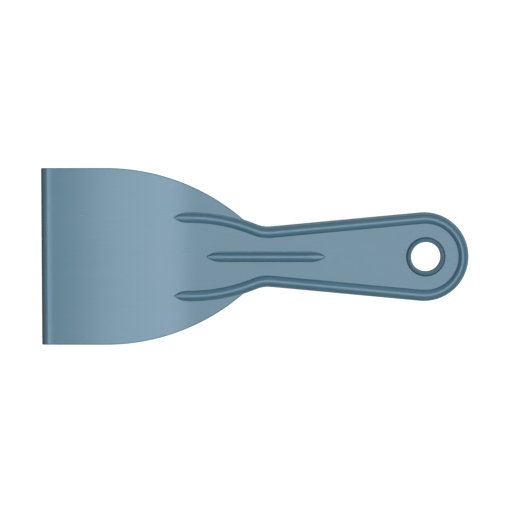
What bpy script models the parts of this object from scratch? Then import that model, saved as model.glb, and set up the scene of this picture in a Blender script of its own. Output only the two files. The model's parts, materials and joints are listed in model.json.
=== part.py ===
"""Flexible putty knife: a plastic scraper with a 3 inch blade, moulded in one piece with its handle.

The moulding is divided along its own features: working edge, flexing strips of the blade, stiff
blade root, ribs, handle rails, end loop, web and hang-hole ring. Units are metres. The knife lies
flat: the working edge is at -X, the hang hole at +X, and +Z is up. Stations are distances along X
from the working edge, and "mid" heights are measured from the plane that halves the moulding.
"""

import math

import bmesh
import bpy
from mathutils import Vector

# Whole tool
LENGTH = 0.1835
BLADE_WIDTH = 0.0762
RIM_HEIGHT = 0.0060
WEB_THICKNESS = 0.0018
GAP = 0.0003

# Blade: straight sides, then one arc on each side that narrows it towards the handle
SIDE_STRAIGHT = 0.0275
SIDE_RADIUS = 0.0905
BEVEL_LENGTH = 0.0024
EDGE_THICKNESS = 0.0005
THIN_THICKNESS = 0.0012
THICK_FROM = 0.0566
CORNER_CHAMFER = 0.00025

# Flexing part of the blade: hinge lines that stand for the bending of the plastic
HINGE_COUNT = 8
HINGE_PITCH = 0.0064
FIRST_HINGE = 0.0534

# Crest line of the outer ribs, which run on as the handle's rails
RIB_START = 0.0570
RIB_OFFSET = 0.01685
RIB_STRAIGHT = 0.0638
RIB_RADIUS = 0.0740
RIB_TURN = math.radians(22.0)
NECK_RADIUS = 0.0155
HANDLE_TAPER = math.radians(5.36)
NECK_JOINT = 0.0920

# Cross-sections of the ridges: offsets from the crest line, and heights from mid
CREST = ((0.0011, 0.00225), (0.0007, 0.00275), (0.0003, 0.0030))
RIB_HALF_WIDTH = 0.0021
RAIL_OUTER = 0.00265
RAIL_INNER = 0.0020
LEDGE_OUTER = 0.0023
LEDGE_INNER = 0.0019
PART_LINE = 0.0005
TIP_LENGTH = 0.0062
TIP_SCALE = 0.2

# Centre rib
CENTRE_RIB_START = 0.0710
CENTRE_RIB_END = 0.1220

# Hang hole
HOLE_STATION = 0.1651
HOLE_RADIUS = 0.00635
RING_WIDTH = 0.0024
RING_PROUD = 0.0012
HOLE_SIDES = 48

# Steps along a lofted piece and round an arc
STATION_STEP = 0.0030
ARC_STEP = math.radians(6.0)

PLASTIC = (0.150, 0.255, 0.335)
PLASTIC_DARK = (0.120, 0.215, 0.290)
PLASTIC_LIGHT = (0.185, 0.300, 0.385)

HINGE_STATIONS = [FIRST_HINGE - i * HINGE_PITCH for i in range(HINGE_COUNT)]
HALF_WEB = WEB_THICKNESS / 2
HALF_RIM = RIM_HEIGHT / 2

# The crest line's arc on the blade ends where the neck's arc begins
ARC_END = RIB_STRAIGHT + RIB_RADIUS * math.sin(RIB_TURN)
ARC_END_OFFSET = RIB_OFFSET - RIB_RADIUS * (1 - math.cos(RIB_TURN))
NECK_STATION = ARC_END + NECK_RADIUS * math.sin(RIB_TURN)
NECK_CENTRE_OFFSET = ARC_END_OFFSET + NECK_RADIUS * math.cos(RIB_TURN)
TAPER_START = NECK_STATION + NECK_RADIUS * math.sin(HANDLE_TAPER)
TAPER_OFFSET = NECK_CENTRE_OFFSET - NECK_RADIUS * math.cos(HANDLE_TAPER)

# The end loop's circle touches both tapered crest lines and ends at the tool's full length
END_CENTRE = (
    LENGTH
    - RAIL_OUTER
    - (TAPER_OFFSET - TAPER_START * math.tan(HANDLE_TAPER)) * math.cos(HANDLE_TAPER)
) / (1 + math.sin(HANDLE_TAPER))
END_RADIUS = LENGTH - RAIL_OUTER - END_CENTRE


def point(station, y, mid):
    """A point of the moulding in world space."""
    return Vector((station - LENGTH / 2, y, mid + HALF_RIM))


def crest_offset(station):
    """Half the distance between the two crest lines at a station."""
    if station <= RIB_STRAIGHT:
        return RIB_OFFSET
    if station <= ARC_END:
        run = station - RIB_STRAIGHT
        return RIB_OFFSET - RIB_RADIUS + math.sqrt(RIB_RADIUS**2 - run**2)
    if station <= TAPER_START:
        run = station - NECK_STATION
        return NECK_CENTRE_OFFSET - math.sqrt(NECK_RADIUS**2 - run**2)
    return TAPER_OFFSET + (station - TAPER_START) * math.tan(HANDLE_TAPER)


def crest_stretch(station):
    """How much wider a section across X is than one square to the crest line."""
    step = 0.0002
    rise = crest_offset(station + step) - crest_offset(station - step)
    return math.hypot(1.0, rise / (2 * step))


def side_offset(station):
    """Half the blade's width at a station."""
    if station <= SIDE_STRAIGHT:
        return BLADE_WIDTH / 2
    run = station - SIDE_STRAIGHT
    arc = BLADE_WIDTH / 2 - SIDE_RADIUS + math.sqrt(SIDE_RADIUS**2 - run**2)
    return max(arc, crest_offset(station) + RIB_HALF_WIDTH * crest_stretch(station))


def faces_at(station):
    """Heights of the blade's back and front: a curve from thin to thick, and the edge's bevel."""
    left = max(0.0, THICK_FROM - max(station, BEVEL_LENGTH)) / (THICK_FROM - BEVEL_LENGTH)
    half = (WEB_THICKNESS - (WEB_THICKNESS - THIN_THICKNESS) * left**2) / 2
    bevel = (THIN_THICKNESS - EDGE_THICKNESS) * max(0.0, 1 - station / BEVEL_LENGTH)
    return -half, half - bevel


def stations_between(start, end):
    """Stations from start to end in equal steps, both ends included."""
    count = max(1, round((end - start) / STATION_STEP))
    return [start + (end - start) * i / count for i in range(count + 1)]


def plastic(name, color):
    """A satin plastic in one colour."""
    material = bpy.data.materials.new(name)
    material.use_nodes = True
    shader = material.node_tree.nodes["Principled BSDF"]
    shader.inputs["Base Color"].default_value = (*color, 1.0)
    shader.inputs["Roughness"].default_value = 0.42
    shader.inputs["Metallic"].default_value = 0.0
    return material


def finish(bm, name, color):
    """Turns a bmesh into a named object with its own material and outward faces."""
    bmesh.ops.recalc_face_normals(bm, faces=bm.faces)
    mesh = bpy.data.meshes.new(name)
    bm.to_mesh(mesh)
    bm.free()
    part = bpy.data.objects.new(name, mesh)
    bpy.context.collection.objects.link(part)
    mesh.materials.append(plastic(name, color))
    mesh.set_sharp_from_angle(angle=math.radians(30))
    return part


def loft(name, rings, color):
    """A solid through rings of points, bridged one to the next and capped at both ends."""
    bm = bmesh.new()
    loops = []
    for ring in rings:
        row = [bm.verts.new(p) for p in ring]
        loops.append([bm.edges.new((row[i - 1], row[i])) for i in range(len(row))])
    for near, far in zip(loops, loops[1:]):
        bmesh.ops.bridge_loops(bm, edges=near + far)
    bmesh.ops.contextual_create(bm, geom=loops[0])
    bmesh.ops.contextual_create(bm, geom=loops[-1])
    return finish(bm, name, color)


def plate_ring(station):
    """The blade's section across X, with small chamfers along its four edges."""
    y = side_offset(station)
    back, front = faces_at(station)
    cut = min(CORNER_CHAMFER, (front - back) / 4)
    corners = [(y, front - cut), (y - cut, front), (cut - y, front), (-y, front - cut)]
    corners += [(-y, back + cut), (cut - y, back), (y - cut, back), (y, back + cut)]
    return [point(station, a, b) for a, b in corners]


def blade_strip(name, start, end, color, breaks=()):
    """A length of the blade between two stations."""
    stations = set(stations_between(start, end)) | {b for b in breaks if start < b < end}
    return loft(name, [plate_ring(s) for s in sorted(stations)], color)


def rib_profile(foot):
    """Half-open rib section on one face: offsets from the crest line and heights from mid."""
    shoulder, top = CREST[0]
    reach = shoulder + (RIB_HALF_WIDTH - shoulder) * (top - foot) / (top - HALF_WEB)
    half = [(reach, foot), *CREST]
    return half + [(-offset, height) for offset, height in reversed(half)]


def tip_scale(station, start, end):
    """1 along a rib, falling to a small point at a tip."""
    run = min(station - start, end - station) / TIP_LENGTH
    return TIP_SCALE + (1 - TIP_SCALE) * min(1.0, run)


def rib(name, start, end, side, face, color, blunt_end):
    """A rib on the front (+1) or back (-1) face, along a crest line (side 0 is the centre)."""
    foot = HALF_WEB + GAP
    last = end + TIP_LENGTH if blunt_end else end
    stations = set(stations_between(start, end)) | {start + TIP_LENGTH}
    if not blunt_end:
        stations.add(end - TIP_LENGTH)
    rings = []
    for station in sorted(stations):
        scale = tip_scale(station, start, last)
        centre = side * crest_offset(station) if side else 0.0
        stretch = crest_stretch(station) if side else 1.0
        ring = []
        for offset, height in rib_profile(foot):
            y = centre + offset * stretch * scale
            ring.append(point(station, y, face * (foot + (height - foot) * scale)))
        rings.append(ring)
    return loft(name, rings, color)


def rail_profile():
    """The rail's section: outward offset from the crest line, and height from mid."""
    upper = [(RAIL_OUTER, PART_LINE), (LEDGE_OUTER, HALF_WEB), (LEDGE_INNER, HALF_WEB), *CREST]
    upper += [(-offset, height) for offset, height in reversed(CREST)]
    upper.append((-RAIL_INNER, HALF_WEB))
    return upper + [(offset, -height) for offset, height in reversed(upper)]


def rail(name, side, color):
    """One side rail of the handle, from the neck to where the end loop begins."""
    last = END_CENTRE + (END_RADIUS + RAIL_OUTER) * math.sin(-HANDLE_TAPER) - 2 * GAP
    rings = []
    for station in stations_between(NECK_JOINT + GAP, last):
        centre = crest_offset(station)
        stretch = crest_stretch(station)
        ring = [point(station, side * (centre + u * stretch), h) for u, h in rail_profile()]
        rings.append(ring)
    return loft(name, rings, color)


def end_loop(name, color):
    """The rail that carries on round the handle's end and the hang hole."""
    sweep = math.pi / 2 + HANDLE_TAPER
    count = math.ceil(2 * sweep / ARC_STEP)
    rings = []
    for i in range(count + 1):
        angle = -sweep + 2 * sweep * i / count
        ring = []
        for offset, height in rail_profile():
            reach = END_RADIUS + offset
            x = END_CENTRE + reach * math.cos(angle)
            ring.append(point(x, reach * math.sin(angle), height))
        rings.append(ring)
    return loft(name, rings, color)


def plate(name, outline, thickness, color):
    """A flat plate about the mid plane, from an outline of (station, y) points."""
    bm = bmesh.new()
    base = bm.faces.new([bm.verts.new(point(s, y, -thickness / 2)) for s, y in outline])
    grown = bmesh.ops.extrude_face_region(bm, geom=[base])
    lifted = [item for item in grown["geom"] if isinstance(item, bmesh.types.BMVert)]
    bmesh.ops.translate(bm, verts=lifted, vec=(0, 0, thickness))
    return finish(bm, name, color)


def drill(part, radius):
    """Cuts a round hole through a part, about the hang hole's axis."""
    bm = bmesh.new()
    bmesh.ops.create_cone(
        bm, cap_ends=True, segments=HOLE_SIDES, radius1=radius, radius2=radius, depth=2 * RIM_HEIGHT
    )
    bmesh.ops.translate(bm, verts=bm.verts, vec=point(HOLE_STATION, 0, 0))
    cutter = finish(bm, "hang_hole_cutter", PLASTIC_DARK)
    cutter.hide_render = True
    cutter.display_type = "WIRE"
    cut = part.modifiers.new("hang hole", "BOOLEAN")
    cut.operation = "DIFFERENCE"
    cut.solver = "EXACT"
    cut.object = cutter


def handle_web():
    """The thin plate between the rails, cut round for the ring of the hang hole."""
    inset = RAIL_INNER + GAP
    start = NECK_JOINT + GAP
    last = END_CENTRE - (END_RADIUS - inset) * math.sin(HANDLE_TAPER)
    stations = stations_between(start, last)
    side = [(s, crest_offset(s) - inset * crest_stretch(s)) for s in stations]
    outline = list(side)
    sweep = math.pi / 2 + HANDLE_TAPER
    count = math.ceil(2 * sweep / ARC_STEP)
    for i in range(1, count):
        angle = sweep - 2 * sweep * i / count
        reach = END_RADIUS - inset
        outline.append((END_CENTRE + reach * math.cos(angle), reach * math.sin(angle)))
    outline += [(s, -y) for s, y in reversed(side)]
    web = plate("handle_web", outline, WEB_THICKNESS, PLASTIC)
    drill(web, HOLE_RADIUS + RING_WIDTH + GAP)


def hang_hole_ring():
    """The raised bead round the hang hole, on both faces."""
    top = HALF_WEB + RING_PROUD
    middle = HOLE_RADIUS + RING_WIDTH / 2
    outer = HOLE_RADIUS + RING_WIDTH
    upper = [(HOLE_RADIUS, top * 0.75), (HOLE_RADIUS + 0.0005, top), (middle + 0.0003, top)]
    upper.append((outer, HALF_WEB))
    section = upper + [(r, -h) for r, h in reversed(upper)]
    bm = bmesh.new()
    row = [bm.verts.new(point(HOLE_STATION + r, 0, h)) for r, h in section]
    edges = [bm.edges.new((row[i - 1], row[i])) for i in range(len(row))]
    bmesh.ops.spin(
        bm,
        geom=row + edges,
        cent=point(HOLE_STATION, 0, 0),
        axis=(0, 0, 1),
        angle=2 * math.pi,
        steps=HOLE_SIDES,
        use_merge=True,
    )
    finish(bm, "hang_hole_ring", PLASTIC_LIGHT)


def blade():
    """The working edge, the flexing strips and the stiff root that carries the ribs."""
    blade_strip("working_edge", 0.0, BEVEL_LENGTH - GAP / 2, PLASTIC_DARK)
    ends = (*HINGE_STATIONS, BEVEL_LENGTH)
    for number, (root, tip) in enumerate(zip(ends, ends[1:]), start=1):
        color = PLASTIC_LIGHT if number % 2 else PLASTIC
        start = tip + GAP / 2
        blade_strip(f"blade_strip_{number}", start, root - GAP / 2, color, (SIDE_STRAIGHT,))
    blade_strip("blade_root", HINGE_STATIONS[0] + GAP / 2, NECK_JOINT, PLASTIC)


def ribs():
    """Outer ribs on the blade and the centre rib, each on the front and on the back."""
    for face, face_name in ((1, "front"), (-1, "back")):
        for side, side_name in ((1, "upper"), (-1, "lower")):
            name = f"{side_name}_rib_{face_name}"
            rib(name, RIB_START, NECK_JOINT, side, face, PLASTIC_LIGHT, blunt_end=True)
        name = f"centre_rib_{face_name}"
        rib(name, CENTRE_RIB_START, CENTRE_RIB_END, 0, face, PLASTIC_LIGHT, blunt_end=False)


def handle():
    """Rails, end loop, web and hang-hole ring."""
    rail("upper_rail", 1, PLASTIC_LIGHT)
    rail("lower_rail", -1, PLASTIC_LIGHT)
    end_loop("end_loop", PLASTIC_DARK)
    handle_web()
    hang_hole_ring()


for old in list(bpy.data.objects):
    bpy.data.objects.remove(old)
blade()
ribs()
handle()
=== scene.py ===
import json
import math

import bmesh
import bpy
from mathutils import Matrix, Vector


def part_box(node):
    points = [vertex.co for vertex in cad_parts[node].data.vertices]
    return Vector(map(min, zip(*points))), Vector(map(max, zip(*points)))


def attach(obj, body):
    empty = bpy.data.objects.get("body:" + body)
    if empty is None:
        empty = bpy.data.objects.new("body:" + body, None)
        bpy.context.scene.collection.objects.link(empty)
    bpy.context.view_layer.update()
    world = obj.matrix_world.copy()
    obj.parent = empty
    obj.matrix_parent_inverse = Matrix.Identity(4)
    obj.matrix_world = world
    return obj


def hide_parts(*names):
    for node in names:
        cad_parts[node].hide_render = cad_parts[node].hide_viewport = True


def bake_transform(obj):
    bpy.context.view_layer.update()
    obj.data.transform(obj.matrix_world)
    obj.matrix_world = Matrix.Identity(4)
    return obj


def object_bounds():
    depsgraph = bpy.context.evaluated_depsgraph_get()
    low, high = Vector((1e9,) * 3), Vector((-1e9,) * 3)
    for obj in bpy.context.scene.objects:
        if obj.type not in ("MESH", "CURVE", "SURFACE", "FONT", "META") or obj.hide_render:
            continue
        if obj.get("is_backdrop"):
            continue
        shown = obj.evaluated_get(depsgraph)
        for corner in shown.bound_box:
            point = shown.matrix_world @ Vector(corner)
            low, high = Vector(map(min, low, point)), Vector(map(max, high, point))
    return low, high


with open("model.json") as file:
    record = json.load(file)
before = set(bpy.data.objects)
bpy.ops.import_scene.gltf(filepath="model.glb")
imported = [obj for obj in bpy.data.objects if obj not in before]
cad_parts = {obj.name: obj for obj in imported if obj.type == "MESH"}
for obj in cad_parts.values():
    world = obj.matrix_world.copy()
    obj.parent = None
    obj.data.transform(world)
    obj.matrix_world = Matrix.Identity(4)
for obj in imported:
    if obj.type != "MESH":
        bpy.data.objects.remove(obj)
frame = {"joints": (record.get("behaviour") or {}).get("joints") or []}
cad_low, cad_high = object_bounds()


# ---------------------------------------------------------------------------
# Blade and web plate
# One thin plate of blue-grey polypropylene makes the flexing blade, its stiff root and the web of
# the handle. It is moulded in one shot with the ridges, and gets thinner towards the working edge.
# ---------------------------------------------------------------------------

EDGE_X = cad_low.x
MID = (cad_low.z + cad_high.z) / 2
HALF_BLADE = cad_high.y
STRAIGHT_SIDE = 0.0275
SIDE_RADIUS = 0.0905
CORNER = 0.0004

# Half the plate's thickness at the web and behind the bevel, and the shape of the working edge
WEB_HALF = 0.0009
THIN_HALF = 0.0006
NOSE = 0.00020
BEVEL_LENGTH = 0.0026
CREASE_RISE = 0.00006
CREASE_LENGTH = 0.0006
EDGE_ROUND = 0.0006
MOST_ROUND = 0.42

hinge_x = [joint["pos_m"][0] for joint in frame["joints"]]
half_pitch = (hinge_x[0] - hinge_x[1]) / 2
FLEX_END = hinge_x[0] + half_pitch
TIP_X = hinge_x[-1] - half_pitch

# The crest line of the outer ridges: ribs on the blade, a tight neck, then the handle's rails
RIB_START = EDGE_X + 0.0570
RIB_OFFSET = 0.01685
RIB_STRAIGHT = EDGE_X + 0.0638
RIB_RADIUS = 0.0740
RIB_TURN = math.radians(22.0)
NECK_RADIUS = 0.0155
HANDLE_TAPER = math.radians(5.36)
RAIL_OUTER = 0.00265
ARC_END = RIB_STRAIGHT + RIB_RADIUS * math.sin(RIB_TURN)
ARC_END_OFFSET = RIB_OFFSET - RIB_RADIUS * (1 - math.cos(RIB_TURN))
NECK_X = ARC_END + NECK_RADIUS * math.sin(RIB_TURN)
NECK_CENTRE = ARC_END_OFFSET + NECK_RADIUS * math.cos(RIB_TURN)
TAPER_X = NECK_X + NECK_RADIUS * math.sin(HANDLE_TAPER)
TAPER_OFFSET = NECK_CENTRE - NECK_RADIUS * math.cos(HANDLE_TAPER)
TAPER_ZERO = TAPER_OFFSET - TAPER_X * math.tan(HANDLE_TAPER)
TAPER_REACH = RAIL_OUTER + TAPER_ZERO * math.cos(HANDLE_TAPER)
END_X = (cad_high.x - TAPER_REACH) / (1 + math.sin(HANDLE_TAPER))
END_RADIUS = cad_high.x - RAIL_OUTER - END_X
LOOP_TURN = math.pi / 2 + HANDLE_TAPER


def crest_offset(x, out=0.0):
    """Half the distance between the two crest lines, or between lines a little outside them."""
    rib = RIB_RADIUS + out
    neck = NECK_RADIUS - out
    if x <= RIB_STRAIGHT:
        return RIB_OFFSET + out
    if x <= RIB_STRAIGHT + rib * math.sin(RIB_TURN):
        return RIB_OFFSET - RIB_RADIUS + math.sqrt(rib**2 - (x - RIB_STRAIGHT) ** 2)
    if x <= NECK_X + neck * math.sin(HANDLE_TAPER):
        return NECK_CENTRE - math.sqrt(neck**2 - (x - NECK_X) ** 2)
    return TAPER_ZERO + x * math.tan(HANDLE_TAPER) + out / math.cos(HANDLE_TAPER)


def side_offset(x):
    """Half the plate's width: the blade's side, and past the neck a line outside the rails."""
    run = x - EDGE_X - STRAIGHT_SIDE
    if run <= 0:
        nick = max(0.0, CORNER - (x - EDGE_X))
        return HALF_BLADE - CORNER + math.sqrt(CORNER**2 - nick**2)
    blade_side = HALF_BLADE - SIDE_RADIUS + math.sqrt(max(0.0, SIDE_RADIUS**2 - run**2))
    if run < SIDE_RADIUS / 2:
        return blade_side
    return max(blade_side, crest_offset(x, RAIL_OUTER))


def faces_at(x):
    """Heights of the plate's back and front: a round nose, the front's bevel, then a slow rise."""
    run = x - EDGE_X
    left = max(0.0, FLEX_END - max(x, EDGE_X + BEVEL_LENGTH)) / (FLEX_END - EDGE_X - BEVEL_LENGTH)
    half = WEB_HALF - (WEB_HALF - THIN_HALF) * left**2
    if run >= BEVEL_LENGTH:
        fall = max(0.0, 1 - (run - BEVEL_LENGTH) / CREASE_LENGTH)
        return -half, half + CREASE_RISE * fall**2 * (3 - 2 * fall)
    front = half + CREASE_RISE - (2 * half + CREASE_RISE - 2 * NOSE) * (1 - run / BEVEL_LENGTH)
    bow = math.sqrt(NOSE**2 - max(0.0, NOSE - run) ** 2)
    return NOSE - half - bow, min(front, NOSE - half + bow) if run < NOSE else front


def places(start, end, step):
    """Values from start to end in equal steps of about the given size."""
    count = max(1, round(abs(end - start) / step))
    return [start + (end - start) * i / count for i in range(count + 1)]


# Stations along the plate: round the nose, up the bevel, over its crease and along the blade
stations = [EDGE_X + NOSE * (1 - math.cos(math.radians(a))) for a in (15, 32, 50, 70, 90)]
stations += places(stations[-1], EDGE_X + BEVEL_LENGTH, 0.0007)[1:]
stations += places(stations[-1], EDGE_X + BEVEL_LENGTH + CREASE_LENGTH, 0.00015)[1:]
stations += places(stations[-1], TIP_X, 0.0007)[1:]
stations += places(TIP_X, FLEX_END, 0.0008)[1:]

# Distances in from the side, close together where the side is rounded
rows = [EDGE_ROUND * (1 - math.cos(math.radians(a))) for a in (0, 18, 36, 54, 72, 90)]
rows.append(EDGE_ROUND + 0.0002)

plate = bmesh.new()
last_row = 2 * len(rows) - 1
last_station = len(stations) - 1
bmesh.ops.create_grid(plate, x_segments=last_station, y_segments=last_row, size=1.0)
for v in plate.verts:
    x = stations[round((v.co.x + 1) / 2 * last_station)]
    row = round((v.co.y + 1) / 2 * last_row)
    side = -1 if row < len(rows) else 1
    inward = rows[min(row, last_row - row)]
    back, front = faces_at(x)
    rounding = min(EDGE_ROUND, MOST_ROUND * (front - back))
    fall = 1 - math.sqrt(1 - max(0.0, 1 - inward / EDGE_ROUND) ** 2)
    v.co = (x, side * (side_offset(x) - inward), front - rounding * fall)
under = bmesh.ops.extrude_face_region(plate, geom=plate.faces[:])["geom"]
for v in under:
    if isinstance(v, bmesh.types.BMVert):
        back, front = faces_at(v.co.x)
        v.co.z = back + front - v.co.z
bmesh.ops.translate(plate, verts=plate.verts, vec=(0, 0, MID))
bmesh.ops.recalc_face_normals(plate, faces=plate.faces)


def plate_between(start, end):
    """The stretch of the plate between two places, cut square and closed."""
    part = plate.copy()
    for x, way in ((start, -1), (end, 1)):
        bmesh.ops.bisect_plane(
            part,
            geom=part.verts[:] + part.edges[:] + part.faces[:],
            dist=1e-6,
            plane_co=(x, 0, 0),
            plane_no=(way, 0, 0),
            clear_outer=True,
        )
    bmesh.ops.holes_fill(part, edges=[e for e in part.edges if e.is_boundary], sides=0)
    return part


def piece(bm, name, material):
    """Makes a finished bmesh an object, smooth except at its sharp edges."""
    bmesh.ops.recalc_face_normals(bm, faces=bm.faces)
    mesh = bpy.data.meshes.new(name)
    bm.to_mesh(mesh)
    bm.free()
    mesh.shade_smooth()
    mesh.set_sharp_from_angle(angle=math.radians(35))
    made = bpy.data.objects.new(name, mesh)
    bpy.context.scene.collection.objects.link(made)
    mesh.materials.append(material)
    return made


def add(tree, kind, inputs, **settings):
    """Adds a shader node; its inputs, by name or number, are each a socket or a value."""
    made = tree.nodes.new(f"ShaderNode{kind}")
    for name, value in settings.items():
        setattr(made, name, value)
    for name, value in inputs.items():
        if isinstance(value, bpy.types.NodeSocket):
            tree.links.new(value, made.inputs[name])
        else:
            made.inputs[name].default_value = value
    return made


PLASTIC = (0.054, 0.133, 0.188, 1.0)
# Painted light: the paler tint laid where light pools on the blade and along the highlight behind its bevel
PAINTED_LIGHT_TINT = (0.235, 0.365, 0.48, 1.0)
SCRATCHED_PLASTIC = (0.30, 0.40, 0.48, 1.0)
DUST = (0.62, 0.63, 0.62, 1.0)


def moulded_finish():
    """The surface of moulded plastic in use: grain, streaks, hairlines, dust and a duller finish near the
    edge, with painted light on the blade and painted shade at its edge, its bevel and the ridges' feet.
    """
    group = bpy.data.node_groups.new("moulded_finish", "ShaderNodeTree")
    sockets = group.interface
    sockets.new_socket("Vector", in_out="INPUT", socket_type="NodeSocketVector")
    sockets.new_socket("Plastic", in_out="INPUT", socket_type="NodeSocketColor")
    # Some of these inputs paint light and shade into the colour: a paler stretch and line on the blade, a
    # darker working edge, and darker ridge feet
    for name in ("Grain", "Streaks", "Hairlines", "Dust", "Whitening", "Wear", "Grime"):
        sockets.new_socket(name, in_out="INPUT", socket_type="NodeSocketFloat")
    sockets.new_socket("Color", in_out="OUTPUT", socket_type="NodeSocketColor")
    sockets.new_socket("Roughness", in_out="OUTPUT", socket_type="NodeSocketFloat")
    sockets.new_socket("Height", in_out="OUTPUT", socket_type="NodeSocketFloat")
    given = group.nodes.new("NodeGroupInput").outputs
    result = group.nodes.new("NodeGroupOutput").inputs
    spot = given["Vector"]

    # Fine spark-eroded grain, slow clouds, and streaks along the way the plastic flowed
    eroded = {"Vector": spot, "Scale": 2600.0, "Detail": 4.0, "Roughness": 0.6}
    grain = add(group, "TexNoise", eroded).outputs[0]
    clouds = add(group, "TexNoise", {"Vector": spot, "Scale": 38.0, "Detail": 2.0}).outputs[0]
    flow = add(group, "Mapping", {"Vector": spot, "Scale": (14.0, 160.0, 160.0)}).outputs[0]
    drawn = {"Vector": flow, "Scale": 1.0, "Detail": 3.0, "Distortion": 0.6}
    streaks = add(group, "TexNoise", drawn).outputs[0]

    # Hairline scratches in three directions
    scratches = None
    for turn in (0.25, -0.55, 1.35):
        laid = add(group, "Mapping", {"Vector": spot, "Rotation": (0, 0, turn), "Scale": (45, 2600, 45)})
        lines = add(group, "TexNoise", {"Vector": laid.outputs[0], "Scale": 1.0, "Detail": 1.0})
        thin = add(group, "MapRange", {"Value": lines.outputs[0], "From Min": 0.735, "From Max": 0.78})
        if scratches is None:
            scratches = thin.outputs[0]
        else:
            most = add(group, "Math", {0: scratches, 1: thin.outputs[0]}, operation="MAXIMUM")
            scratches = most.outputs[0]
    hairlines = add(group, "Math", {0: scratches, 1: given["Hairlines"]}, operation="MULTIPLY").outputs[0]

    # Dust: tiny specks in a few patches
    cells = add(group, "TexVoronoi", {"Vector": spot, "Scale": 420.0}).outputs["Distance"]
    speck = add(group, "MapRange", {"Value": cells, "From Min": 0.085, "From Max": 0.03}).outputs[0]
    patches = add(group, "TexNoise", {"Vector": spot, "Scale": 260.0, "Detail": 1.0}).outputs[0]
    few = add(group, "MapRange", {"Value": patches, "From Min": 0.6, "From Max": 0.68}).outputs[0]
    kept = add(group, "Math", {0: speck, 1: few}, operation="MULTIPLY").outputs[0]
    dust = add(group, "Math", {0: kept, 1: given["Dust"]}, operation="MULTIPLY").outputs[0]

    # Wear dulls the blade towards its working edge but keeps the bevel smooth, and the same mask darkens
    # its colour a little as painted shade; the bevel's colour is darkened more, painted shade for its slope
    # away from the light
    place = add(group, "SeparateXYZ", {0: spot})
    along = place.outputs["X"]
    bevel_end = EDGE_X + BEVEL_LENGTH
    near_edge = {"Value": along, "From Min": EDGE_X + 0.050, "From Max": EDGE_X + 0.004}
    closer = add(group, "MapRange", near_edge).outputs[0]
    past_bevel = {"Value": along, "From Min": bevel_end - 0.0001, "From Max": bevel_end + 0.0004}
    flat = add(group, "MapRange", past_bevel).outputs[0]
    towards_edge = add(group, "Math", {0: closer, 1: flat}, operation="MULTIPLY").outputs[0]
    wear_and_edge_shade = add(group, "Math", {0: towards_edge, 1: given["Wear"]}, operation="MULTIPLY").outputs[0]
    # Painted shade: the bevel's colour is darker, down to a quarter at the edge
    bevel_shading = {"Value": along, "From Min": EDGE_X, "From Max": bevel_end + 0.0003, "To Min": 0.25}
    depth = add(group, "MapRange", bevel_shading).outputs[0]
    # Painted shade: the colour darkens by up to five per cent towards the working edge
    edge_shade = add(group, "Math", {0: wear_and_edge_shade, 1: -0.05, 2: 1.0}, operation="MULTIPLY_ADD").outputs[0]
    tone = add(group, "Math", {0: edge_shade, 1: depth}, operation="MULTIPLY").outputs[0]

    # Painted shade darkens the foot of a ridge, where it meets the plate
    height = add(group, "Math", {0: place.outputs["Z"], 1: MID}, operation="SUBTRACT").outputs[0]
    level = add(group, "Math", {0: height}, operation="ABSOLUTE").outputs[0]
    low_down = {"Value": level, "From Min": WEB_HALF + 0.0010, "From Max": WEB_HALF}
    foot = add(group, "MapRange", low_down).outputs[0]
    foot_shade = add(group, "Math", {0: foot, 1: given["Grime"]}, operation="MULTIPLY").outputs[0]
    unshaded = add(group, "Math", {0: 1.0, 1: foot_shade}, operation="SUBTRACT").outputs[0]
    dimmed = add(group, "Math", {0: tone, 1: unshaded}, operation="MULTIPLY").outputs[0]

    # Colour: streaks and clouds shade it a few per cent, the stretch that flexes most is painted paler as a
    # pool of light and the line behind the bevel as a painted highlight, and hairlines and dust are paler
    # too
    both = add(group, "Math", {0: streaks, 1: clouds}, operation="ADD").outputs[0]
    centred = add(group, "Math", {0: both, 1: 0.12, 2: -0.12}, operation="MULTIPLY_ADD").outputs[0]
    streaked = {0: centred, 1: given["Streaks"], 2: 1.0}
    shade = add(group, "Math", streaked, operation="MULTIPLY_ADD").outputs[0]
    strength = add(group, "Math", {0: shade, 1: dimmed}, operation="MULTIPLY").outputs[0]
    shaded = {0: given["Plastic"], "Scale": strength}
    toned = add(group, "VectorMath", shaded, operation="SCALE").outputs[0]
    # Painted pool of light: the stretch that flexes most is mixed towards the paler tint
    nearing = {"Value": along, "From Min": EDGE_X + 0.006, "From Max": EDGE_X + 0.036}
    leaving = {"Value": along, "From Min": EDGE_X + 0.068, "From Max": EDGE_X + 0.055}
    rise = add(group, "MapRange", nearing, interpolation_type="SMOOTHSTEP").outputs[0]
    fall = add(group, "MapRange", leaving, interpolation_type="SMOOTHSTEP").outputs[0]
    light_pool = add(group, "Math", {0: rise, 1: fall}, operation="MULTIPLY").outputs[0]
    # Painted highlight: the line just behind the bevel is mixed towards the paler tint
    behind_bevel = {"Value": along, "From Min": bevel_end + 0.0025, "From Max": bevel_end + 0.0006}
    behind = add(group, "MapRange", behind_bevel).outputs[0]
    crease = add(group, "Math", {0: behind, 1: flat}, operation="MULTIPLY").outputs[0]
    painted_light_mask = add(group, "Math", {0: light_pool, 1: crease}, operation="MAXIMUM").outputs[0]
    amount = add(group, "Math", {0: painted_light_mask, 1: given["Whitening"]}, operation="MULTIPLY").outputs[0]
    with_painted_light = add(group, "Mix", {0: amount, 6: toned, 7: PAINTED_LIGHT_TINT}, data_type="RGBA").outputs[2]
    paler = add(group, "Math", {0: hairlines, 1: 0.3}, operation="MULTIPLY").outputs[0]
    scuffed = add(group, "Mix", {0: paler, 6: with_painted_light, 7: SCRATCHED_PLASTIC}, data_type="RGBA").outputs[2]
    dusted = add(group, "Mix", {0: dust, 6: scuffed, 7: DUST}, data_type="RGBA").outputs[2]
    group.links.new(dusted, result["Color"])

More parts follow.
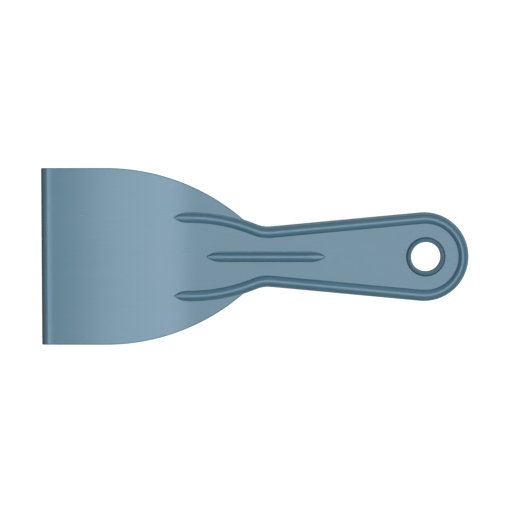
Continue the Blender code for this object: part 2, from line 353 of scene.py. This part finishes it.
    # Roughness: clouds and grain break up the sheen, and hairlines, dust and wear dull it
    sheen = add(group, "Math", {0: clouds, 1: 0.10, 2: 0.27}, operation="MULTIPLY_ADD").outputs[0]
    broken = add(group, "Math", {0: grain, 1: 0.08, 2: sheen}, operation="MULTIPLY_ADD").outputs[0]
    scratched = add(group, "Math", {0: hairlines, 1: 0.12, 2: broken}, operation="MULTIPLY_ADD").outputs[0]
    dulled = add(group, "Math", {0: dust, 1: 0.45, 2: scratched}, operation="MULTIPLY_ADD").outputs[0]
    matt = add(group, "Math", {0: wear_and_edge_shade, 1: 0.22, 2: dulled}, operation="MULTIPLY_ADD").outputs[0]
    group.links.new(matt, result["Roughness"])

    # Height: grain stands up, hairlines are cut in, and slow waves are the plastic's shrinkage
    fine = add(group, "Math", {0: grain, 1: given["Grain"]}, operation="MULTIPLY").outputs[0]
    cut = add(group, "Math", {0: hairlines, 1: -0.5, 2: fine}, operation="MULTIPLY_ADD").outputs[0]
    waved = add(group, "Math", {0: clouds, 1: 3.0, 2: cut}, operation="MULTIPLY_ADD").outputs[0]
    group.links.new(waved, result["Height"])
    return group


finish = moulded_finish()


def plastic(name, **amounts):
    """A material of the knife's one plastic, with its own amounts of each effect."""
    made = bpy.data.materials.new(name)
    made.use_nodes = True
    tree = made.node_tree
    shader = tree.nodes["Principled BSDF"]
    shader.inputs["IOR"].default_value = 1.49
    place = add(tree, "TexCoord", {}).outputs["Object"]
    group = tree.nodes.new("ShaderNodeGroup")
    group.node_tree = finish
    tree.links.new(place, group.inputs["Vector"])
    group.inputs["Plastic"].default_value = PLASTIC
    for effect, amount in amounts.items():
        group.inputs[effect.title()].default_value = amount
    relief = {"Strength": 0.35, "Distance": 0.00002, "Height": group.outputs["Height"]}
    bump = add(tree, "Bump", relief)
    tree.links.new(group.outputs["Color"], shader.inputs["Base Color"])
    tree.links.new(group.outputs["Roughness"], shader.inputs["Roughness"])
    tree.links.new(bump.outputs[0], shader.inputs["Normal"])
    return made


# The flexing blade is one skin over each bending line
# These amounts also paint light on the blade and shade towards its working edge
skin_amounts = {"grain": 0.6, "streaks": 0.7, "dust": 0.3, "whitening": 0.22, "wear": 1.0}
blade_plastic = plastic("blade_plastic", hairlines=0.25, **skin_amounts)
bodies = ["handle"] + [joint["child"] for joint in frame["joints"]]
for i, x in enumerate(hinge_x):
    skin = piece(plate_between(x - half_pitch, x + half_pitch), f"blade_skin_{i + 1}", blade_plastic)
    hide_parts(f"blade_strip_{i + 1}")
    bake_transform(skin)

working_edge = piece(plate_between(EDGE_X - 0.001, TIP_X), "working_edge_skin", blade_plastic)
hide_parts("working_edge", "blade_strip_8")
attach(working_edge, bodies[-1])

# The stiff root and web, with the round hole that the ring's bead covers
ring_low, ring_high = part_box("hang_hole_ring")
HOLE_X = (ring_low.x + ring_high.x) / 2
HOLE_RADIUS = 0.00635
RING_OUTER = (ring_high.x - ring_low.x) / 2

root_plastic = plastic("root_plastic", hairlines=0.2, **skin_amounts)
back_z = MID - WEB_HALF
end_reach = END_RADIUS + RAIL_OUTER
turn_x = END_X + end_reach * math.cos(LOOP_TURN)
side_x = places(FLEX_END, NECK_X, 0.0008) + places(NECK_X, turn_x, 0.004)[1:-1]
side_line = [Vector((x, side_offset(x), back_z)) for x in side_x]
for angle in places(LOOP_TURN, 0.0, math.radians(2.5)):
    side_line.append(Vector((END_X + end_reach * math.cos(angle), end_reach * math.sin(angle), back_z)))
flip = Vector((1, -1, 1))
side_line += [p * flip for p in reversed(side_line[:-1])]
web = bmesh.new()
rim_line = [web.verts.new(p) for p in side_line]
web.faces.new(rim_line)
top = bmesh.ops.extrude_face_region(web, geom=web.faces[:])["geom"]
top_verts = [v for v in top if isinstance(v, bmesh.types.BMVert)]
bmesh.ops.translate(web, verts=top_verts, vec=(0, 0, 2 * WEB_HALF))
long_edges = []
for edge in web.edges:
    low, high = edge.verts
    if abs(low.co.z - high.co.z) < 1e-6 and max(low.co.x, high.co.x) > FLEX_END + 1e-6:
        long_edges.append(edge)
bmesh.ops.bevel(
    web,
    geom=long_edges,
    offset=EDGE_ROUND,
    offset_type="OFFSET",
    segments=5,
    profile=0.5,
    affect="EDGES",
    material=-1,
)
web.faces.ensure_lookup_table()
flats = sorted(web.faces, key=lambda face: face.calc_area())[-2:]
bmesh.ops.inset_individual(web, faces=flats, thickness=0.0002)
root = piece(web, "root_and_web", root_plastic)
plate.free()
bore = bmesh.new()
bore_radius = (HOLE_RADIUS + RING_OUTER) / 2
bmesh.ops.create_cone(
    bore, cap_ends=True, segments=96, radius1=bore_radius, radius2=bore_radius, depth=0.02
)
bmesh.ops.translate(bore, verts=bore.verts, vec=(HOLE_X, 0, MID))
cutter = bpy.data.objects.new("hole_cutter", bpy.data.meshes.new("hole_cutter"))
bore.to_mesh(cutter.data)
bore.free()
bpy.context.scene.collection.objects.link(cutter)
cut = root.modifiers.new("hang hole", "BOOLEAN")
cut.operation = "DIFFERENCE"
cut.solver = "EXACT"
cut.object = cutter
bpy.context.view_layer.update()
drilled = bpy.data.meshes.new_from_object(root.evaluated_get(bpy.context.evaluated_depsgraph_get()))
root.modifiers.clear()
root.data = drilled
bpy.data.objects.remove(cutter)
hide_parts("blade_root", "handle_web")
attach(root, "handle")


# ---------------------------------------------------------------------------
# Rim
# One raised ridge on both faces, moulded with the plate: a pointed rib on the blade, in to the neck,
# along the handle as a rail, round the hang hole and back. Its crest is a narrow flat with rounded
# edges, a low ledge runs along its outer foot, and its tips slope down to a blunt point.
# ---------------------------------------------------------------------------

# Half the ridge's section, sideways from the crest line, with the size of its rounded corners
CREST = (cad_high.z - cad_low.z) / 2
CREST_HALF = 0.00055
OUTER_FOOT = 0.00170
INNER_FOOT = 0.00215
LEDGE = 0.00070
LEDGE_RISE = 0.00022
SKIRT = 0.00060
SINK = 0.000005
CREST_CUT = 0.00036
FOOT_CUT = 0.00020
SUPPORT = 0.0001

# A tip narrows to a point in plan, and its crest slopes to part of its height before it ends
TIP_LENGTH = 0.0070
TIP_FULLNESS = 2.8
TIP_SMALLEST = 0.02
TIP_BLUNT = 0.05
TIP_DROP = 0.5
LOOP_NARROWING = 0.27


def outline(corners):
    """Points along an outline whose (reach, height, cut) corners are rounded by their cuts."""
    bm = bmesh.new()
    row = []
    rounding = []
    for i, (reach, height, size) in enumerate(corners):
        here = Vector((reach, 0, height))
        if not size:
            row.append(bm.verts.new(here))
            continue
        near, far = (Vector((corners[j][0], 0, corners[j][1])) - here for j in (i - 1, i + 1))
        row.append(bm.verts.new(here + near.normalized() * (size + SUPPORT)))
        row.append(bm.verts.new(here))
        rounding.append((row[-1], size))
        row.append(bm.verts.new(here + far.normalized() * (size + SUPPORT)))
    for a, b in zip(row, row[1:]):
        bm.edges.new((a, b))
    first = row[0]
    for corner, size in rounding:
        bmesh.ops.bevel(
            bm,
            geom=[corner],
            offset=size,
            offset_type="OFFSET",
            segments=8,
            profile=0.5,
            affect="VERTICES",
            material=-1,
        )
    points = [first.co.copy()]
    edge = first.link_edges[0]
    here = edge.other_vert(first)
    while True:
        points.append(here.co.copy())
        onward = [e for e in here.link_edges if e != edge]
        if not onward:
            break
        edge = onward[0]
        here = edge.other_vert(here)
    bm.free()
    return points


half_section = outline(
    [
        (OUTER_FOOT + LEDGE, 0, 0),
        (OUTER_FOOT + LEDGE, WEB_HALF - SINK, 0),
        (OUTER_FOOT, WEB_HALF + LEDGE_RISE, FOOT_CUT),
        (CREST_HALF, CREST, CREST_CUT),
        (-CREST_HALF, CREST, CREST_CUT),
        (-INNER_FOOT, WEB_HALF - SINK, FOOT_CUT),
        (-INNER_FOOT - SKIRT, WEB_HALF - SINK, 0),
    ]
)
section = half_section + [Vector((p.x, 0, -p.z)) for p in reversed(half_section[1:])]


def ridge(path):
    """A ridge on both faces through (place, outward direction, run from its tip, inner width)."""
    bm = bmesh.new()
    rings = []
    for spot, out, run, inner in path:
        share = min(1.0, max(TIP_SMALLEST, run / TIP_LENGTH))
        wide = 1 - (1 - share) ** TIP_FULLNESS
        low = 1 - share + max(0.0, 1 - share / TIP_BLUNT)
        ring = []
        for p in section:
            drop = max(0.0, abs(p.z) - WEB_HALF) * low * TIP_DROP
            flank = (OUTER_FOOT if p.x > 0 else INNER_FOOT) - CREST_HALF
            spread = math.copysign(flank * drop / (CREST - WEB_HALF), p.x)
            here = spot + out * (p.x + spread) * (wide if p.x > 0 else wide * inner)
            ring.append(bm.verts.new((here.x, here.y, MID + p.z - math.copysign(drop, p.z))))
        rings.append([bm.edges.new((ring[i - 1], ring[i])) for i in range(len(ring))])
    for near, far in zip(rings, rings[1:]):
        bmesh.ops.bridge_loops(bm, edges=near + far)
    bmesh.ops.holes_fill(bm, edges=rings[0] + rings[-1], sides=0)
    return bm


# Distances from a tip's end, close together where its plan curves most
ramp = [TIP_LENGTH * share for share in (0, 0.03, 0.07, 0.13, 0.2, 0.3, 0.42, 0.56, 0.7, 0.85, 1)]
loop_start = END_X + END_RADIUS * math.cos(LOOP_TURN)
crest_x = [RIB_START + run for run in ramp]
crest_x += places(crest_x[-1], ARC_END, 0.0011)[1:]
crest_x += places(ARC_END, TAPER_X, 0.0006)[1:]
crest_x += places(TAPER_X, loop_start, 0.004)[1:-1]
upper = []
for x in crest_x:
    slope = (crest_offset(x + 0.00005) - crest_offset(x - 0.00005)) / 0.0001
    upper.append((Vector((x, crest_offset(x), 0)), Vector((-slope, 1, 0)).normalized(), x - RIB_START, 1.0))
loop = []
for angle in places(LOOP_TURN, -LOOP_TURN, math.radians(2)):
    out = Vector((math.cos(angle), math.sin(angle), 0))
    inner = 1 - LOOP_NARROWING * max(0.0, math.cos(angle))
    loop.append((Vector((END_X, 0, 0)) + out * END_RADIUS, out, TIP_LENGTH, inner))
lower = [(spot * flip, out * flip, run, inner) for spot, out, run, inner in reversed(upper)]

# Its painted shade darkens the feet of the ridges
rim_plastic = plastic("rim_plastic", grain=0.5, streaks=0.4, hairlines=0.15, dust=0.3, grime=0.4)
rim = piece(ridge(upper + loop + lower), "rim", rim_plastic)
ribs = [f"{side}_rib_{face}" for side in ("upper", "lower") for face in ("front", "back")]
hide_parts("upper_rail", "lower_rail", "end_loop", *ribs)
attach(rim, "handle")


# ---------------------------------------------------------------------------
# Centre rib
# A straight ridge with two pointed ends on both faces, moulded with the plate. It stiffens the neck,
# where the blade's load passes into the handle.
# ---------------------------------------------------------------------------

centre_low, centre_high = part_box("centre_rib_front")
centre_x = [centre_low.x + run for run in ramp]
centre_x += places(centre_low.x + TIP_LENGTH, centre_high.x - TIP_LENGTH, 0.004)[1:-1]
centre_x += [centre_high.x - run for run in reversed(ramp)]
path = []
for x in centre_x:
    run = min(x - centre_low.x, centre_high.x - x)
    path.append((Vector((x, 0, 0)), Vector((0, 1, 0)), run, 1.0))
centre_rib = piece(ridge(path), "centre_rib", rim_plastic)
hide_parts("centre_rib_front", "centre_rib_back")
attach(centre_rib, "handle")


# ---------------------------------------------------------------------------
# Hang-hole ring
# A bead of the same plastic, moulded round the half-inch hole on both faces, so that a hook doesn't
# tear it. The hole's lip is chamfered, the crest is narrow, and the outer flank slopes to the web.
# ---------------------------------------------------------------------------

RING_TOP = (ring_high.z - ring_low.z) / 2
LIP = 0.0006
RING_CREST = 0.0005
RING_FOOT = RING_OUTER - 0.0004
LIP_CUT = 0.0002
RING_CUT = 0.0003
ring_line = outline(
    [
        (HOLE_RADIUS, 0, 0),
        (HOLE_RADIUS, RING_TOP - LIP, LIP_CUT),
        (HOLE_RADIUS + LIP, RING_TOP, RING_CUT),
        (HOLE_RADIUS + LIP + RING_CREST, RING_TOP, RING_CUT),
        (RING_FOOT, WEB_HALF - SINK, FOOT_CUT),
        (RING_OUTER + SKIRT, WEB_HALF - SINK, 0),
    ]
)
profile = ring_line + [Vector((p.x, 0, -p.z)) for p in reversed(ring_line[1:])]
bm = bmesh.new()
line = [bm.verts.new((HOLE_X + p.x, 0, MID + p.z)) for p in profile]
sides = [bm.edges.new((line[i - 1], line[i])) for i in range(len(line))]
bmesh.ops.spin(
    bm,
    geom=line + sides,
    cent=(HOLE_X, 0, 0),
    axis=(0, 0, 1),
    angle=2 * math.pi,
    steps=120,
    use_merge=True,
)
# Its painted shade darkens the bead's foot, more strongly than the rim's
ring_plastic = plastic("ring_plastic", grain=0.5, streaks=0.3, hairlines=0.2, dust=0.3, grime=0.75)
ring = piece(bm, "hang_ring", ring_plastic)
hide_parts("hang_hole_ring")
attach(ring, "handle")


# ---------------------------------------------------------------------------
# Studio
# White paper some way under the knife, so that the blade can bend down over it. One large softbox
# hangs overhead, a low strip of light stands at each side, and the background is white.
# ---------------------------------------------------------------------------

FLOOR_DROP = 0.045

bpy.ops.mesh.primitive_plane_add(size=6.0, location=(0, 0, -FLOOR_DROP))
floor = bpy.context.object
floor.name = "floor"
floor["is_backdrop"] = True
paper = bpy.data.materials.new("floor_paper")
paper.use_nodes = True
shader = paper.node_tree.nodes["Principled BSDF"]
seen = add(paper.node_tree, "LightPath", {}).outputs["Is Camera Ray"]
greys = {0: seen, 6: (0.20, 0.20, 0.20, 1), 7: (0.35, 0.35, 0.35, 1)}
grey = add(paper.node_tree, "Mix", greys, data_type="RGBA").outputs[2]
paper.node_tree.links.new(grey, shader.inputs["Base Color"])
glow = add(paper.node_tree, "Math", {0: seen, 1: 0.75}, operation="MULTIPLY").outputs[0]
paper.node_tree.links.new(glow, shader.inputs["Emission Strength"])
shader.inputs["Emission Color"].default_value = (1, 1, 1, 1)
shader.inputs["Roughness"].default_value = 0.9
floor.data.materials.append(paper)


def softbox(name, position, aim, width, height, radiance):
    """A rectangular area light of a given radiance, turned towards a point and itself unseen."""
    lamp = bpy.data.lights.new(name, "AREA")
    lamp.shape = "RECTANGLE"
    lamp.size = width
    lamp.size_y = height
    lamp.energy = radiance * math.pi * width * height
    made = bpy.data.objects.new(name, lamp)
    made.visible_camera = False
    made.location = position
    made.rotation_euler = (Vector(position) - Vector(aim)).to_track_quat("Z", "Y").to_euler()
    bpy.context.scene.collection.objects.link(made)


softbox("overhead", (0.575, 0.15, 1.7), (0.575, 0.15, 0), 2.65, 2.1, 3.1)
softbox("front_strip", (0, -1.6, 0.25), (0, 0, 0.25), 3.0, 0.5, 1.0)
softbox("back_strip", (0, 1.6, 0.25), (0, 0, 0.25), 3.0, 0.5, 1.0)

world = bpy.data.worlds.new("studio")
bpy.context.scene.world = world
world.use_nodes = True
sky = world.node_tree.nodes["Background"]
sky.inputs["Color"].default_value = (1, 1, 1, 1)
direct = add(world.node_tree, "LightPath", {}).outputs["Is Camera Ray"]
power = add(world.node_tree, "MapRange", {"Value": direct, "To Min": 0.35, "To Max": 1.1}).outputs[0]
world.node_tree.links.new(power, sky.inputs["Strength"])

# The camera looks down on the knife, a few degrees from upright, and a little off its middle
VIEW_WIDTH = 0.2192
DISTANCE = 1.1
TILT = math.radians(-4.5)
AIM_Y = 0.0007
camera = bpy.data.cameras.new("camera")
camera.lens = camera.sensor_width * DISTANCE / VIEW_WIDTH
camera.clip_end = 10
camera_object = bpy.data.objects.new("camera", camera)
bpy.context.scene.collection.objects.link(camera_object)
camera_object.location = (0, AIM_Y - DISTANCE * math.sin(TILT), MID + DISTANCE * math.cos(TILT))
camera_object.rotation_euler = (TILT, 0, 0)
bpy.context.scene.camera = camera_object
bpy.context.scene.view_settings.view_transform = "Standard"

low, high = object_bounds()
